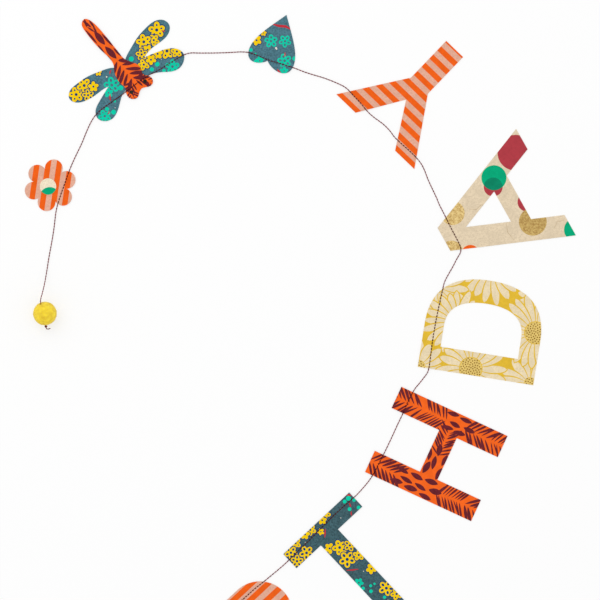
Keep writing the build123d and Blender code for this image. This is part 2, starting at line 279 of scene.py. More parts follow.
def paper(name, colour, cloud=0.97, mottle=0.93, strand=0.93):
    """Bare handmade paper: soft clouds, a fine mottle, and faint fibres lying both ways."""
    nodes = Nodes(name)
    clouds = nodes.ramp(nodes.noise(110, 4), *SOFT)
    base = nodes.mix(clouds, shaded(colour, cloud), shaded(colour, LIGHTER))
    base = nodes.mix(nodes.ramp(nodes.noise(800, 3), 0.42, 0.66), base, shaded(colour, mottle))
    for stretch, turn in (((1, 0.1, 1), 35), ((0.1, 1, 1), -15)):
        strands = nodes.ramp(nodes.noise(520, 2, 0.5, stretch, turn), 0.6, 0.76, end=0.4)
        base = nodes.mix(strands, base, shaded(colour, strand))
    return matte(nodes, base, 0.92, paper_tooth(nodes))


def ink(name, colour, dark=DARKER, speck=None):
    """Screen ink on that paper: slightly uneven, with pinholes where the tooth kept it off; for the eyes
    the speck colour is pale and paints glints in those places.
    """
    nodes = Nodes(name)
    clouds = nodes.ramp(nodes.noise(170, 5), *SOFT)
    base = nodes.mix(clouds, shaded(colour, dark), shaded(colour, LIGHTER))
    base = nodes.mix(nodes.ramp(nodes.noise(950, 2), 0.45, 0.66, end=0.7), base, shaded(colour, DARKER))
    # Pinholes are darker than the ink; where a pale speck colour is given, as for the eyes, these places
    # are painted glints
    holes = nodes.ramp(nodes.noise(1500, 2), 0.68, 0.78, end=0.5)
    base = nodes.mix(holes, base, speck or shaded(colour, 0.85))
    return matte(nodes, base, 0.8, paper_tooth(nodes))


def gold_ink(name, light, dark):
    """Metallic ink: bright flakes over a duller ground."""
    nodes = Nodes(name)
    flakes = nodes.ramp(nodes.cells(1150), 0.15, 0.75)
    patches = nodes.ramp(nodes.noise(620, 4), 0.4, 0.62)
    base = nodes.mix(patches, dark, light)
    base = nodes.mix(nodes.ramp(nodes.noise(1300, 2), 0.55, 0.7), base, shaded(light, 1.08))
    nodes.surface({"Base Color": base, "Metallic": 0.2, "Roughness": 0.5, "Specular IOR Level": 0.1})
    return nodes.surface({"Normal": nodes.bump(flakes, FLAKE_DEPTH, paper_tooth(nodes))})


def felt(name, colour):
    """Matted wool: mottled, with loose fibres in every direction."""
    nodes = Nodes(name)
    clouds = nodes.ramp(nodes.noise(330, 5), *SOFT)
    base = nodes.mix(clouds, shaded(colour, 0.94), shaded(colour, LIGHTER))
    wisps = nodes.ramp(nodes.noise(900, 3, 0.6, (1, 0.2, 0.6), turn=40), 0.55, 0.7, end=0.8)
    base = nodes.mix(wisps, base, shaded(colour, 1.05))
    nodes.surface({"Sheen Weight": 0.15, "Sheen Roughness": 0.6})
    mat = nodes.bump(nodes.noise(500, 4), MAT_DEPTH)
    return matte(nodes, base, 1, nodes.bump(wisps, WISP_DEPTH, mat))


def spun(name, colour, light):
    """Cotton thread: dark plies with paler stray fibres."""
    nodes = Nodes(name)
    base = nodes.mix(nodes.ramp(nodes.noise(900, 3), 0.4, 0.7), colour, light)
    return matte(nodes, base, 0.8, nodes.bump(nodes.noise(3500, 2), PLY_DEPTH))


MATERIALS = {
    "gold": gold_ink("gold_ink", (234, 206, 140), (188, 152, 88)),
    "dull_gold": gold_ink("dull_gold_ink", (206, 176, 108), (172, 136, 76)),
    "wool": felt("wool", (255, 222, 60)),
    "needle": spun("needle_thread", THREAD_DARK, THREAD_LIGHT),
    # Darker copy of the thread for where it lies on the papers: painted shade round the stitches
    "stitch": spun("stitch_painted_shade", (66, 12, 16), (98, 26, 32)),
    "bobbin": spun("bobbin_thread", shaded(THREAD_DARK, 1.2), shaded(THREAD_LIGHT, 1.15)),
    # The eyes: dark ink with pale specks as painted glints
    "eye": ink("eye_dark", (46, 42, 38), 0.7, EYE_GLINT),
}
PAPER_COLOURS = (
    ("pink_paper", (231, 175, 151)),
    ("cream_paper", (230, 211, 181)),
    ("pale_paper", (243, 229, 201)),
    ("slate_paper", (71, 103, 111), 0.94, 0.74, 1.08),
    ("slate_blue_paper", (82, 126, 140), 0.94, 0.76, 1.08),
    ("maroon_paper", (112, 40, 49), 0.94, 0.82, 1.06),
    ("petal_paper", (238, 220, 183), 0.97, 0.94),
    ("fibre", (190, 164, 124)),
)
INK_COLOURS = (
    ("orange", (242, 98, 24)),
    ("crimson", (178, 62, 71)),
    ("green", (4, 170, 121)),
    ("deep_green", (10, 137, 102), 0.9),
    ("ochre", (228, 187, 56), 0.97),
    ("seed", (230, 200, 116)),
    ("seed_dark", (146, 106, 40)),
    ("leaf_orange", (250, 104, 32)),
    ("yellow", (252, 208, 4)),
    ("navy", (30, 66, 112)),
    ("mint", (8, 206, 170)),
    ("red", (196, 48, 60)),
    ("fleck", (236, 232, 218)),
)
for name, *look in PAPER_COLOURS:
    MATERIALS[name] = paper(name, *look)
for name, *look in INK_COLOURS:
    MATERIALS[name] = ink(name + "_ink", *look)


# Small outlines, as lists of points in a paper's own millimetres

def disc(x, y, radius, count=40):
    """Points round a circle."""
    angles = [2 * math.pi * i / count for i in range(count)]
    return [(x + radius * math.cos(angle), y + radius * math.sin(angle)) for angle in angles]


def turned_to(points, turn, x, y):
    """Points turned by so many degrees and moved to x, y."""
    turned = Matrix.Rotation(math.radians(turn), 2)
    return [tuple(turned @ Vector(p) + Vector((x, y))) for p in points]


BLUNTING = 0.45
TIP_HEAVY = 0.35


def lens(x, y, length, width, turn, blunt, count=14):
    """A leaf or petal from its foot at x, y: pointed at both ends, or rounder with blunt up to 1."""
    points = []
    for side in (1, -1):
        for i in range(count):
            share = i / count if side > 0 else 1 - i / count
            swell = math.sin(math.pi * share) ** (1 - BLUNTING * blunt)
            heavier = 1 + TIP_HEAVY * blunt * (share - 0.5)
            points.append((length * share, -side * width / 2 * swell * heavier))
    return turned_to(points, turn, x, y)


def oval(x, y, length, width, turn, count):
    """A petal with its middle at x, y, longer one way than the other."""
    points = [(px * length / 2, py * width / 2) for px, py in disc(0, 0, 1, count)]
    return turned_to(points, turn, x, y)


def away(x, y, distance, turn):
    """The point at a distance from x, y, in a turned direction."""
    out = Matrix.Rotation(math.radians(turn), 2) @ Vector((distance, 0))
    return x + out.x, y + out.y


TAPER = 0.4


def stroke(points, width):
    """A brush stroke along a few points, thinner towards its ends."""
    left, right = [], []
    last = len(points) - 1
    for i, point in enumerate(points):
        here = Vector(point)
        ahead = Vector(points[min(i + 1, last)]) - Vector(points[max(i - 1, 0)])
        side = Vector((-ahead.y, ahead.x)).normalized()
        full = 1 if 0 < i < last else TAPER
        left.append(tuple(here + side * width / 2 * full))
        right.append(tuple(here - side * width / 2 * full))
    return right + left[::-1]


# Prints: each is a list of (outline, ink) from the lowest layer to the highest

def stripes(first, count, period, turn=0, origin=(0, 0), reach=140):
    """Straight bands, half as wide as their period, whose middles step down from the first."""
    bands = []
    for i in range(count):
        low = first - i * period - period / 4
        high = first - i * period + period / 4
        corners = ((-reach, low), (reach, low), (reach, high), (-reach, high))
        bands.append((turned_to(corners, turn, *origin), "orange"))
    return bands


A_SPOTS = (
    ("crimson", 86.9, -89.5, 15.3),
    ("crimson", 70.7, -58.6, 8.1),
    ("green", 77.2, -63, 10.7),
    ("gold", 68.3, -17.4, 10.3),
    ("gold", 39.7, -0.3, 9.7),
    ("orange", 30.1, -13.5, 7.9),
    ("crimson", 45.3, -77.3, 7.9),
    ("dull_gold", 28.2, -73.6, 11.9),
    ("green", 4.1, -102.5, 10.3),
)
A_STRANDS = (
    ((64.5, -31), (61, -36.5), (62.5, -42), (59, -47)),
    ((22, -52), (31, -50.5), (38, -53)),
    ((14, -86), (18, -92), (16, -98)),
)
STRAND_WIDTH = 0.35
I_SPOTS = (
    ("crimson", 2, -14, 9),
    ("gold", 17, -42, 8.5),
    ("green", 4, -72, 9.5),
    ("orange", 19, -95, 7),
)
CENTRE_SPOTS = (("green", 1.5, -9.5, 9),)


def dots(spots, count=64):
    return [(disc(x, y, radius, count), colour) for colour, x, y, radius in spots]


def overlap(first, second, count=60):
    """The lens that two discs share, walked round the second one and pulled inside the first."""
    x1, y1, r1 = first
    points = []
    for x, y in disc(*second, count):
        out = Vector((x - x1, y - y1))
        if out.length > r1:
            out *= r1 / out.length
        points.append((x1 + out.x, y1 + out.y))
    return points


def dots_of_a():
    """Loose strands in the paper, then its dots, and a deeper green where two of them overlap."""
    crimson, green = A_SPOTS[1][1:], A_SPOTS[2][1:]
    strands = [(stroke(line, STRAND_WIDTH), "fibre") for line in A_STRANDS]
    return strands + dots(A_SPOTS, 72) + [(overlap(green, crimson), "deep_green")]


# Daisies: seeds by their number in a square of the heart's radius, sizes in millimetres
SEEDS_PER_AREA = 0.71
SEED_RADIUS = 0.62
SEEDED = 0.97
DRAWN_EDGE = 2.1
RIM = 1.07
ROOT = 0.6
PETAL_TURN = 3
PETAL_LENGTH = (0.86, 1.04)
PETAL_WIDTH = (0.6, 0.72)
GOLDEN_ANGLE = math.radians(137.508)


def daisy(x, y, reach, heart, petals, turn):
    """Long petals with drawn edges round a seeded heart."""
    drawn = []
    for i in range(petals):
        angle = turn + 360 * i / petals + random.uniform(-PETAL_TURN, PETAL_TURN)
        length = reach * random.uniform(*PETAL_LENGTH) - heart * ROOT
        width = 2 * math.pi * reach / petals * random.uniform(*PETAL_WIDTH)
        foot = away(x, y, heart * ROOT, angle)
        drawn.append((lens(*foot, length + DRAWN_EDGE / 2, width + DRAWN_EDGE, angle, 1), "ochre"))
        drawn.append((lens(*foot, length, width, angle, 1), "petal_paper"))
    drawn.append((disc(x, y, heart * RIM), "ochre"))
    drawn.append((disc(x, y, heart), "seed"))
    count = int(heart * heart * SEEDS_PER_AREA)
    for i in range(count):
        out = heart * SEEDED * math.sqrt((i + 0.5) / count)
        angle = i * GOLDEN_ANGLE
        seed = disc(x + out * math.cos(angle), y + out * math.sin(angle), SEED_RADIUS, 8)
        drawn.append((seed, "seed_dark"))
    return drawn


def every(draw, rows):
    """What a function draws for each row of a table, one after another."""
    drawn = []
    for row in rows:
        drawn += draw(*row)
    return drawn


D_DAISIES = (
    (0.5, -1, 24, 5, 15, 8),
    (1, -97, 27, 5, 16, 3),
    (74, -99, 27, 5, 15, 12),
    (93, -50, 31, 7, 19, 6),
    (70, -6, 27, 5, 17, 0),
    (42, -26, 29, 6, 20, 4),
    (5.5, -45, 31, 9.5, 20, 9),
    (44.5, -95, 33, 9.3, 22, 4),
)
B_DAISIES = (
    (2, -2, 26, 5, 16, 8),
    (66, -30, 29, 6, 19, 0),
    (34, -50, 27, 5, 17, 5),
    (70, -92, 29, 6, 18, 3),
    (4, -62, 30, 8.5, 19, 2),
    (36, -104, 30, 7, 19, 6),
    (44, 2, 29, 8, 20, 0),
)


# Leaves drawn by hand: how far each may stray, as shares of its place, lean, length and width
BLADE_PLACE = (0.38, 0.62)
BLADE_LEAN = (0.84, 1.12)
BLADE_LENGTH = (0.82, 1.12)
BLADE_WIDTH = (0.68, 1.12)
LEAF_LENGTH = (0.88, 1.02)
LEAF_WIDTH = (0.74, 1.08)
LEAF_STRAY = 0.05
LEAF_TURN = 11
HALF_STEM = 0.7


def frond(points, leaf, width, lean, gap):
    """Narrow leaves in pairs along a stem of a few points."""
    drawn = []
    for before, after in zip(points, points[1:]):
        run = Vector(after) - Vector(before)
        heading = math.degrees(math.atan2(run.y, run.x))
        for i in range(max(1, round(run.length / gap))):
            for side in (1, -1):
                foot = Vector(before) + run * ((i + random.uniform(*BLADE_PLACE)) * gap / run.length)
                turn = heading + side * lean * random.uniform(*BLADE_LEAN)
                length = leaf * random.uniform(*BLADE_LENGTH)
                breadth = width * random.uniform(*BLADE_WIDTH)
                foot = away(foot.x, foot.y, HALF_STEM, turn)
                drawn.append((lens(*foot, length, breadth, turn, 0.9, 10), "maroon_paper"))
    return drawn


H_FRONDS = (
    (((11, 3), (9, -25)), 16, 2.5, 50, 3.8),
    (((9, -61), (11, -84)), 15, 1.8, 58, 2.7),
    (((11, -86), (9.5, -106)), 16, 2.7, 48, 4.2),
    (((69, -46), (70, -26)), 15, 1.8, 56, 2.7),
    (((70, -24), (68.5, 4)), 16, 2.5, 50, 3.9),
    (((70, -60), (69, -83)), 16, 2.4, 52, 3.7),
    (((69, -85), (70, -106)), 15, 1.8, 58, 2.7),
    (((38, -50.5), (60, -51)), 12, 1.9, 52, 2.9),
)
H_LEAVES = (
    ((3.4, -22), -91, 6.4, 3, 13.4, 3, 12.6, 5),
    ((63.2, -42), -89, 6.4, 3, 12, 2, 11.4, 4.9),
    ((19.5, -45), 1, -6.2, 3, 12.6, 2, 12, 4.9),
)
BODY_FRONDS = (
    (((-8, 0.6), (16, 0.6)), 13, 3.7, 58, 4.8),
    (((16, 1), (20, 7), (28, 11)), 8, 1.9, 46, 2.8),
    (((16, -0.5), (20, -6.5), (28, -10)), 8, 1.9, 46, 2.8),
)
BODY_LEAVES = (
    (-37.5, 1.8, 15, 5.2, -2),
    (-21.5, 0.4, 14.5, 5.2, 3),
    (-44, -3.2, 17, 2.1, 0),
    (-32, 5.2, 15, 2.2, 2),
    (-27, -3.4, 11, 1.8, -3),
    (-16, 5, 10, 2.1, 3),
    (-14, -3, 9, 1.8, -12),
    (-51, 2.2, 8, 2, -22),
    (-51, 0, 10, 2.2, 12),
    (-48, 4.6, 9, 1.8, -4),
    (-44, -0.4, 8, 1.6, 16),
    (-42, 4, 8, 1.7, -12),
)


def leaves(rows):
    """Single leaves, each by its foot, length, width and turn."""
    return [(lens(*leaf, 0.35), "maroon_paper") for leaf in rows]


def leafage(corner, heading, step, columns, pitch, rows, length, width):
    """Broad leaves in staggered rows, from a corner along a heading."""
    drawn = []
    for i in range(columns):
        for j in range(rows):
            stray = random.uniform(-LEAF_STRAY, LEAF_STRAY)
            foot = turned_to([((j + i % 2 / 2 + stray) * pitch, i * step)], heading, *corner)[0]
            long = length * random.uniform(*LEAF_LENGTH)
            broad = width * random.uniform(*LEAF_WIDTH)
            turn = heading + random.uniform(-LEAF_TURN, LEAF_TURN)
            drawn.append((lens(*foot, long, broad, turn, 0.5), "maroon_paper"))
    return drawn


# Blossoms: a halo in millimetres, the petals' stray in degrees, and shares of the radius
SMALL_BLOSSOM = 4.7
HALO = 1.5
PETAL_RING = 0.6
PETAL_LONG = 0.88
PETAL_BROAD = 0.72
RING_HOLE = 0.33
OPEN_HOLE = 0.5
HOLE_BROAD = 0.9
EYE_RIM = 0.3
EYE_HOLE = 0.2
BLOSSOM_TURN = 5


def blossom(x, y, radius, turn, filled, colour, ground):
    """Five petals about an open eye: broad rings when filled, else thin ones that show the ground."""
    halo = "navy" if colour == "yellow" else ground
    petals = []
    for i in range(5):
        angle = turn + 72 * i + random.uniform(-BLOSSOM_TURN, BLOSSOM_TURN)
        petals.append((*away(x, y, radius * PETAL_RING, angle), angle))
    length, width = radius * PETAL_LONG, radius * PETAL_BROAD
    layers = [(length + HALO, width + HALO, 18, halo), (length, width, 18, colour)]
    if radius > SMALL_BLOSSOM:
        hole = RING_HOLE if filled else OPEN_HOLE
        layers.append((length * hole, width * hole * HOLE_BROAD, 12, halo))
    drawn = []
    for long, broad, count, layer in layers:
        drawn += [(oval(px, py, long, broad, angle, count), layer) for px, py, angle in petals]
    drawn.append((disc(x, y, radius * EYE_RIM, 14), colour))
    drawn.append((disc(x, y, radius * EYE_HOLE, 12), halo))
    return drawn


def sprigs(ground, yellow, mint, mint_dots, reds, flecks):
    """A blossom print: its two colours of blossom, then dots, red strokes and pale flecks."""
    drawn = []
    for x, y, radius, turn, filled in mint:
        drawn += blossom(x, y, radius, turn, filled, "mint", ground)
    for x, y, radius in mint_dots:
        drawn.append((disc(x, y, radius, 16), "mint"))
    for x, y, radius, turn, filled in yellow:
        drawn += blossom(x, y, radius, turn, filled, "yellow", ground)
    for points, width in reds:
        drawn.append((stroke(points, width), "red"))
    for x, y, radius in flecks:
        drawn.append((disc(x, y, radius, 9), "fleck"))
    return drawn


T_PRINT = sprigs(
    "slate_paper",
    yellow=(
        (49.5, 0.6, 4.8, 20, True), (44, -1.6, 3.8, 50, True), (31, -0.6, 5, 10, True),
        (36.5, -8, 3, 0, True), (25, -0.4, 4.2, 40, True), (14, -0.4, 4.8, 0, True),
        (5.6, -3.6, 5.6, 15, False), (4.4, -12.4, 5.4, 45, False), (15.2, -12.8, 6.2, 5, False),
        (32.2, -23.5, 4.6, 20, True), (39, -28.8, 6.4, 0, True),
        (46.6, -33.4, 5.2, 30, False), (36.8, -40.6, 7, 12, False), (46.6, -44.6, 5, 50, True),
        (46.4, -60.6, 4.6, 10, True), (44.4, -81.4, 6.6, 25, False), (47.4, -91, 5.2, 0, True),
        (34, -93, 5.6, 30, True),
    ),
    mint=((30.4, -62, 4, 20, True),),
    mint_dots=(
        (73.2, -3.2, 2.1), (69, -3, 1.7), (75.6, -7.6, 1.5), (67.6, -10.6, 1.6), (74.2, -14.8, 1.6),
        (29.8, -68, 1.5), (36, -70.8, 1.3), (39.6, -71.8, 1), (33, -74.4, 1.6), (38, -86, 1.4),
    ),
    reds=(
        (((71, -6.6), (70.4, -8.2), (69.8, -10)), 1.5),
        (((67.4, -13), (66, -14.4), (65.2, -16)), 1.3),
        (((74, -0.4), (75.6, -1.4), (76.6, -3)), 1.6),
        (((41, -8.6), (38.2, -11.4), (35.6, -13.8)), 1.4),
        (((30, -47), (34, -50.4), (38, -53.2)), 1.4),
    ),
    flecks=((57, -11, 0.4), (40, -57.5, 0.4), (20.5, -5.4, 0.35)),
)
HEART_PRINT = sprigs(
    "slate_blue_paper",
    yellow=((15.4, -12.6, 4.4, 30, True), (12.2, -20.6, 2.6, 0, True)),
    mint=(
        (3.6, -16.6, 5.6, 8, False), (-7.4, -21.2, 5.3, 40, False), (-13.4, -5.6, 6, 20, False),
        (-16.4, 2.6, 3.6, 0, False), (6.2, 2.6, 3.8, 12, False),
    ),
    mint_dots=((16.6, -3.2, 1.5), (11.8, -1.6, 0.8), (9.6, 4.6, 1.2), (-20.8, -10.6, 2)),
    reds=(
        (((8.4, -30.6), (2.4, -31.2), (-3, -33), (-10, -32.4)), 2.1),
        (((-10.4, 3.4), (-12.2, 4.6), (-14, 5)), 1.6),
        (((-11, -12.4), (-11.8, -10.4), (-12.2, -8.8)), 1.2),
    ),
    flecks=((-2.6, -12.8, 0.9), (-3.4, -12.2, 0.6)),
)
WING_PRINT = sprigs(
    "slate_blue_paper",
    yellow=(
        (-3.6, 43.2, 7, 0, True), (1.4, 35.6, 5, 30, True), (-3, 28.2, 6.6, 12, True),
        (4.2, 26.4, 4.2, 40, False), (4, 19.8, 5, 0, False), (11.8, 15.6, 5, 20, True),
        (15.8, 38.2, 6.6, 8, True), (21.6, 44.4, 5.2, 0, True), (12.4, 30.6, 4.6, 0, True),
        (12.6, 23, 4.4, 30, True), (-6.2, -45, 6.4, 10, True), (-7.6, -34.8, 6.4, 35, True),
        (0.8, -37.6, 5, 5, False), (-1.8, -29.4, 4.4, 0, False), (-8.2, -18.4, 3, 0, True),
    ),
    mint=(
        (7.4, -16.6, 6.8, 10, False), (10.6, -23, 4, 0, False), (23.8, -38.4, 5.6, 20, True),
        (29, 33.2, 6, 0, True),
    ),
    mint_dots=(
        (19, 24.6, 2), (19.4, 18.2, 1.8), (1.2, 10.6, 2.2), (14.2, -12.4, 2.2), (19.6, -23.6, 1.1),
        (26, -30.4, 2.1), (20.4, -33, 1.8), (24.6, -15.4, 1.1), (27, 25.4, 1.6),
    ),
    reds=(
        (((-2.8, -8.6), (-2, -10.6), (-0.8, -12)), 1.2),
        (((12.4, -22.6), (14.8, -25), (17.2, -26)), 1.5),
        (((22.8, -33), (23.8, -33.6), (24.6, -34.6)), 1.1),
        (((-0.6, 46), (0.8, 46.8), (1.8, 48)), 1.2),
    ),
    flecks=((-0.8, -15.4, 0.6), (18, 30, 0.35), (24, -27, 0.35)),
)


# How the sheets lie

def route_points(needle):
    """The route's points for the bobbin thread, or beside and over them for the needle thread."""
    points = []
    for offset, stretch in ROUTE:
        dx, dy, dz = offset if needle else (0, 0, 0)
        for x, y, *height in stretch:
            z = height[0] if height else TABLE
            points.append(Vector((x + dx, y + dy, z + dz)))
    return points


def length_of(line):
    return sum((b - a).length for a, b in zip(line, line[1:]))


def smooth(share):
    """A share from 0 to 1 that starts and ends gently."""
    share = min(1, max(0, share))
    return share * share * (3 - 2 * share)


def smooth_line(name, points):
    """The curve of one open spline through a route, and the points along it, in millimetres."""
    data = bpy.data.curves.new(name + "_line", "CURVE")
    data.dimensions = "3D"
    data.resolution_u = 16
    spline = data.splines.new("NURBS")
    spline.points.add(len(points) - 1)
    for target, point in zip(spline.points, points):
        target.co = (*(point * MM), 1)
    spline.order_u = 3
    spline.use_endpoint_u = True
    holder = bpy.data.objects.new(name + "_line", data)
    mesh = bpy.data.meshes.new_from_object(holder)
    line = [v.co / MM for v in mesh.vertices]
    bpy.data.objects.remove(holder)
    return line


def even(line):
    """The same line with points at even steps."""
    total = length_of(line)
    count = round(total / STEP)
    spaced = [line[0].copy()]
    travelled = 0.0
    target = total / count
    for a, b in zip(line, line[1:]):
        run = (b - a).length
        while travelled + run >= target * len(spaced) - 1e-9 and len(spaced) <= count:
            share = (target * len(spaced) - travelled) / run
            spaced.append(a.lerp(b, share))
        travelled += run
    return spaced


BOBBIN_LINE = even(smooth_line("bobbin", route_points(False)))
NEEDLE_LINE = even(smooth_line("needle", route_points(True)))
SEAM = kdtree.KDTree(len(BOBBIN_LINE))
for index, point in enumerate(BOBBIN_LINE):
    SEAM.insert((point.x, point.y, 0), index)
SEAM.balance()


def lift(x, y):
    """How far a sheet rises or sinks: it sags away from the seam and curls a little."""
    share = smooth(SEAM.find((x, y, 0))[2] / SAG_REACH)
    curl = noise.noise((x / CURL_SIZE, y / CURL_SIZE, 0.5))
    buckle = BUCKLE * noise.noise((x / BUCKLE_SIZE, y / BUCKLE_SIZE, 4.5))
    crinkle = CRINKLE * share * noise.noise((x / CRINKLE_SIZE, y / CRINKLE_SIZE, 9.5))
    return share * (CURL * max(curl + buckle, CURL_LEAST) - SAG) + crinkle


# Sheets cut from paper

def loops_of(node):
    """The outlines of a flat node's upper face, the outer one first, in millimetres."""
    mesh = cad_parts[node].data
    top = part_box(node)[1].z
    edges = {}
    for face in mesh.polygons:
        corners = [mesh.vertices[i].co for i in face.vertices]
        if min(c.z for c in corners) < top - 1e-6:
            continue
        keys = [(round(c.x / MM, 3), round(c.y / MM, 3)) for c in corners]
        for a, b in zip(keys, keys[1:] + keys[:1]):
            edges[(a, b)] = True
    border = {a: b for a, b in edges if (b, a) not in edges}
    loops = []
    while border:
        start, here = border.popitem()
        loop = [start]
        while here != start:
            loop.append(here)
            here = border.pop(here)
        loops.append(loop)
    return sorted(loops, key=lambda loop: -abs(area(loop)))


def area(loop):
    """The signed area of a loop, positive when it runs anticlockwise."""
    return sum(a[0] * b[1] - b[0] * a[1] for a, b in zip(loop, loop[1:] + loop[:1])) / 2


# What counts as a cut corner, as a straight edge beside a curve, and as a sharp edge of the paper
CORNER = math.radians(26)
LONG_EDGE = 2.4
SHARP = math.radians(40)


def rounded(loop):
    """The loop with its curved stretches made smooth and its long edges divided."""
    points = [Vector(p) for p in loop]
    count = len(points)
    tangents = []
    for i, here in enumerate(points):
        back = here - points[i - 1]
        ahead = points[(i + 1) % count] - here
        if back.length > LONG_EDGE * ahead.length:
            tangent = back.normalized()
        elif ahead.length > LONG_EDGE * back.length:
            tangent = ahead.normalized()
        else:
            tangent = (back.normalized() * ahead.length + ahead.normalized() * back.length).normalized()
        tangents.append(tangent if back.angle(ahead) < CORNER else None)
    out = []
    for i, here in enumerate(points):
        there = points[(i + 1) % count]
        run = (there - here).length
        straight = (there - here).normalized()
        start = (tangents[i] or straight) * run
        end = (tangents[(i + 1) % count] or straight) * run
        pieces = max(1, math.ceil(run / EDGE_STEP))
        for j in range(pieces):
            t = j / pieces
            out.append(
                here * (2 * t**3 - 3 * t**2 + 1) + start * (t**3 - 2 * t**2 + t)
                + there * (3 * t**2 - 2 * t**3) + end * (t**3 - t**2)
            )
    return [(p.x, p.y) for p in out]


def placed(points, place):
    """Points of a paper's own frame in the whole object's, in millimetres."""
    x, y, heading = PLACES[place]
    return turned_to(points, heading, x, y)


def grid_points(loop):
    """Points all over a loop's extent, so that the sheet inside it can bend."""
    xs = [p[0] for p in loop]
    ys = [p[1] for p in loop]
    points = []
    for i in range(int((max(xs) - min(xs)) / GRID) + 1):
        for j in range(int((max(ys) - min(ys)) / GRID) + 1):
            points.append((min(xs) + (i + GRID_START[0]) * GRID, min(ys) + (j + GRID_START[1]) * GRID))
    return points


def triangulated(outer, holes, printed):
    """Triangles of the sheet, each with the number of the highest print that covers it, or -1."""
    verts, faces = [], []
    for loop in [outer, *holes, *[outline for outline, colour in printed]]:
        if area(loop) < 0:
            loop = loop[::-1]
        faces.append(list(range(len(verts), len(verts) + len(loop))))
        verts += [Vector(p) for p in loop]
    verts += [Vector(p) for p in grid_points(outer)]
    points, _, triangles, _, _, owners = geometry.delaunay_2d_cdt(verts, [], faces, 1, 1e-5, True)
    first_print = 1 + len(holes)
    kept = []
    for triangle, own in zip(triangles, owners):
        if 0 not in own or any(1 <= i < first_print for i in own):
            continue
        kept.append((triangle, max(own) - first_print if max(own) >= first_print else -1))
    return points, kept


def dressed(name, mesh, node):
    """A smooth piece of the scene on the root body, from its mesh, in place of a node."""
    mesh.shade_smooth()
    piece = bpy.data.objects.new(name, mesh)
    bpy.context.scene.collection.objects.link(piece)
    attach(piece, "root")
    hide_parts(node)
    return piece


def sheet(node, ground, printed, place=None, back=None):
    """A cut sheet for a flat node, printed on its upper side, with its bare back and edges."""
    low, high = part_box(node)
    loops = [rounded(loop) for loop in loops_of(node)]
    laid = [(placed(outline, place or node), colour) for outline, colour in printed]
    points, triangles = triangulated(loops[0], loops[1:], laid)
    bare = back or ground
    shown = {ground, *(laid[i][1] for _, i in triangles if i >= 0)}
    used = [bare] + sorted(shown - {bare})
    used_points = sorted({i for triangle, _ in triangles for i in triangle})
    number = {old: new for new, old in enumerate(used_points)}
    count = len(used_points)
    verts = []
    for z in (high.z, low.z):
        for i in used_points:
            x, y = points[i]
            verts.append((x * MM, y * MM, z + lift(x, y) * MM))
    faces, slots = [], []
    for triangle, owner in triangles:
        a, b, c = (number[i] for i in triangle)
        faces.append((a, b, c))
        slots.append(used.index(laid[owner][1] if owner >= 0 else ground))
        faces.append((c + count, b + count, a + count))
        slots.append(0)
    seen = {(a, b) for f in faces[::2] for a, b in zip(f, f[1:] + f[:1])}
    for a, b in sorted(seen):
        if (b, a) not in seen:
            faces.append((b, a, a + count, b + count))
            slots.append(0)
    mesh = bpy.data.meshes.new(node)
    mesh.from_pydata(verts, [], faces)
    for name in used:
        mesh.materials.append(MATERIALS[name])
    mesh.polygons.foreach_set("material_index", slots)
    dressed("cut_" + node, mesh, node)
    mesh.set_sharp_from_angle(angle=SHARP)


# The stripes' period in millimetres, and the heading of the flower's in the whole object
STRIPE = 9.7
FLOWER_STRIPE = 9.45
FLOWER_TURN = 81.9 - PLACES["flower"][2]
FLOWER_MIDDLE = (11.6, 11.9)
flower_print = stripes(3 * FLOWER_STRIPE, 7, FLOWER_STRIPE, FLOWER_TURN, FLOWER_MIDDLE, 60)
sheet("flower", "pink_paper", flower_print)
sheet("flower_centre", "pale_paper", dots(CENTRE_SPOTS))
sheet("dragonfly_wings", "slate_blue_paper", WING_PRINT, "dragonfly")
body_print = leaves(BODY_LEAVES) + every(frond, BODY_FRONDS)
sheet("dragonfly_body", "leaf_orange", body_print, "dragonfly", "maroon_paper")
sheet("heart", "slate_blue_paper", HEART_PRINT)
sheet("letter_y", "pink_paper", stripes(-1.9, 11, STRIPE))
sheet("letter_a", "cream_paper", dots_of_a())
sheet("letter_d", "ochre", every(daisy, D_DAISIES), back="petal_paper")
h_print = every(leafage, H_LEAVES) + every(frond, H_FRONDS)
sheet("letter_h", "leaf_orange", h_print, back="maroon_paper")
sheet("letter_t", "slate_paper", T_PRINT)
sheet("letter_r", "pink_paper", stripes(-4, 11, STRIPE))
sheet("letter_i", "cream_paper", dots(I_SPOTS))
sheet("letter_b", "ochre", every(daisy, B_DAISIES), back="petal_paper")


# Threads

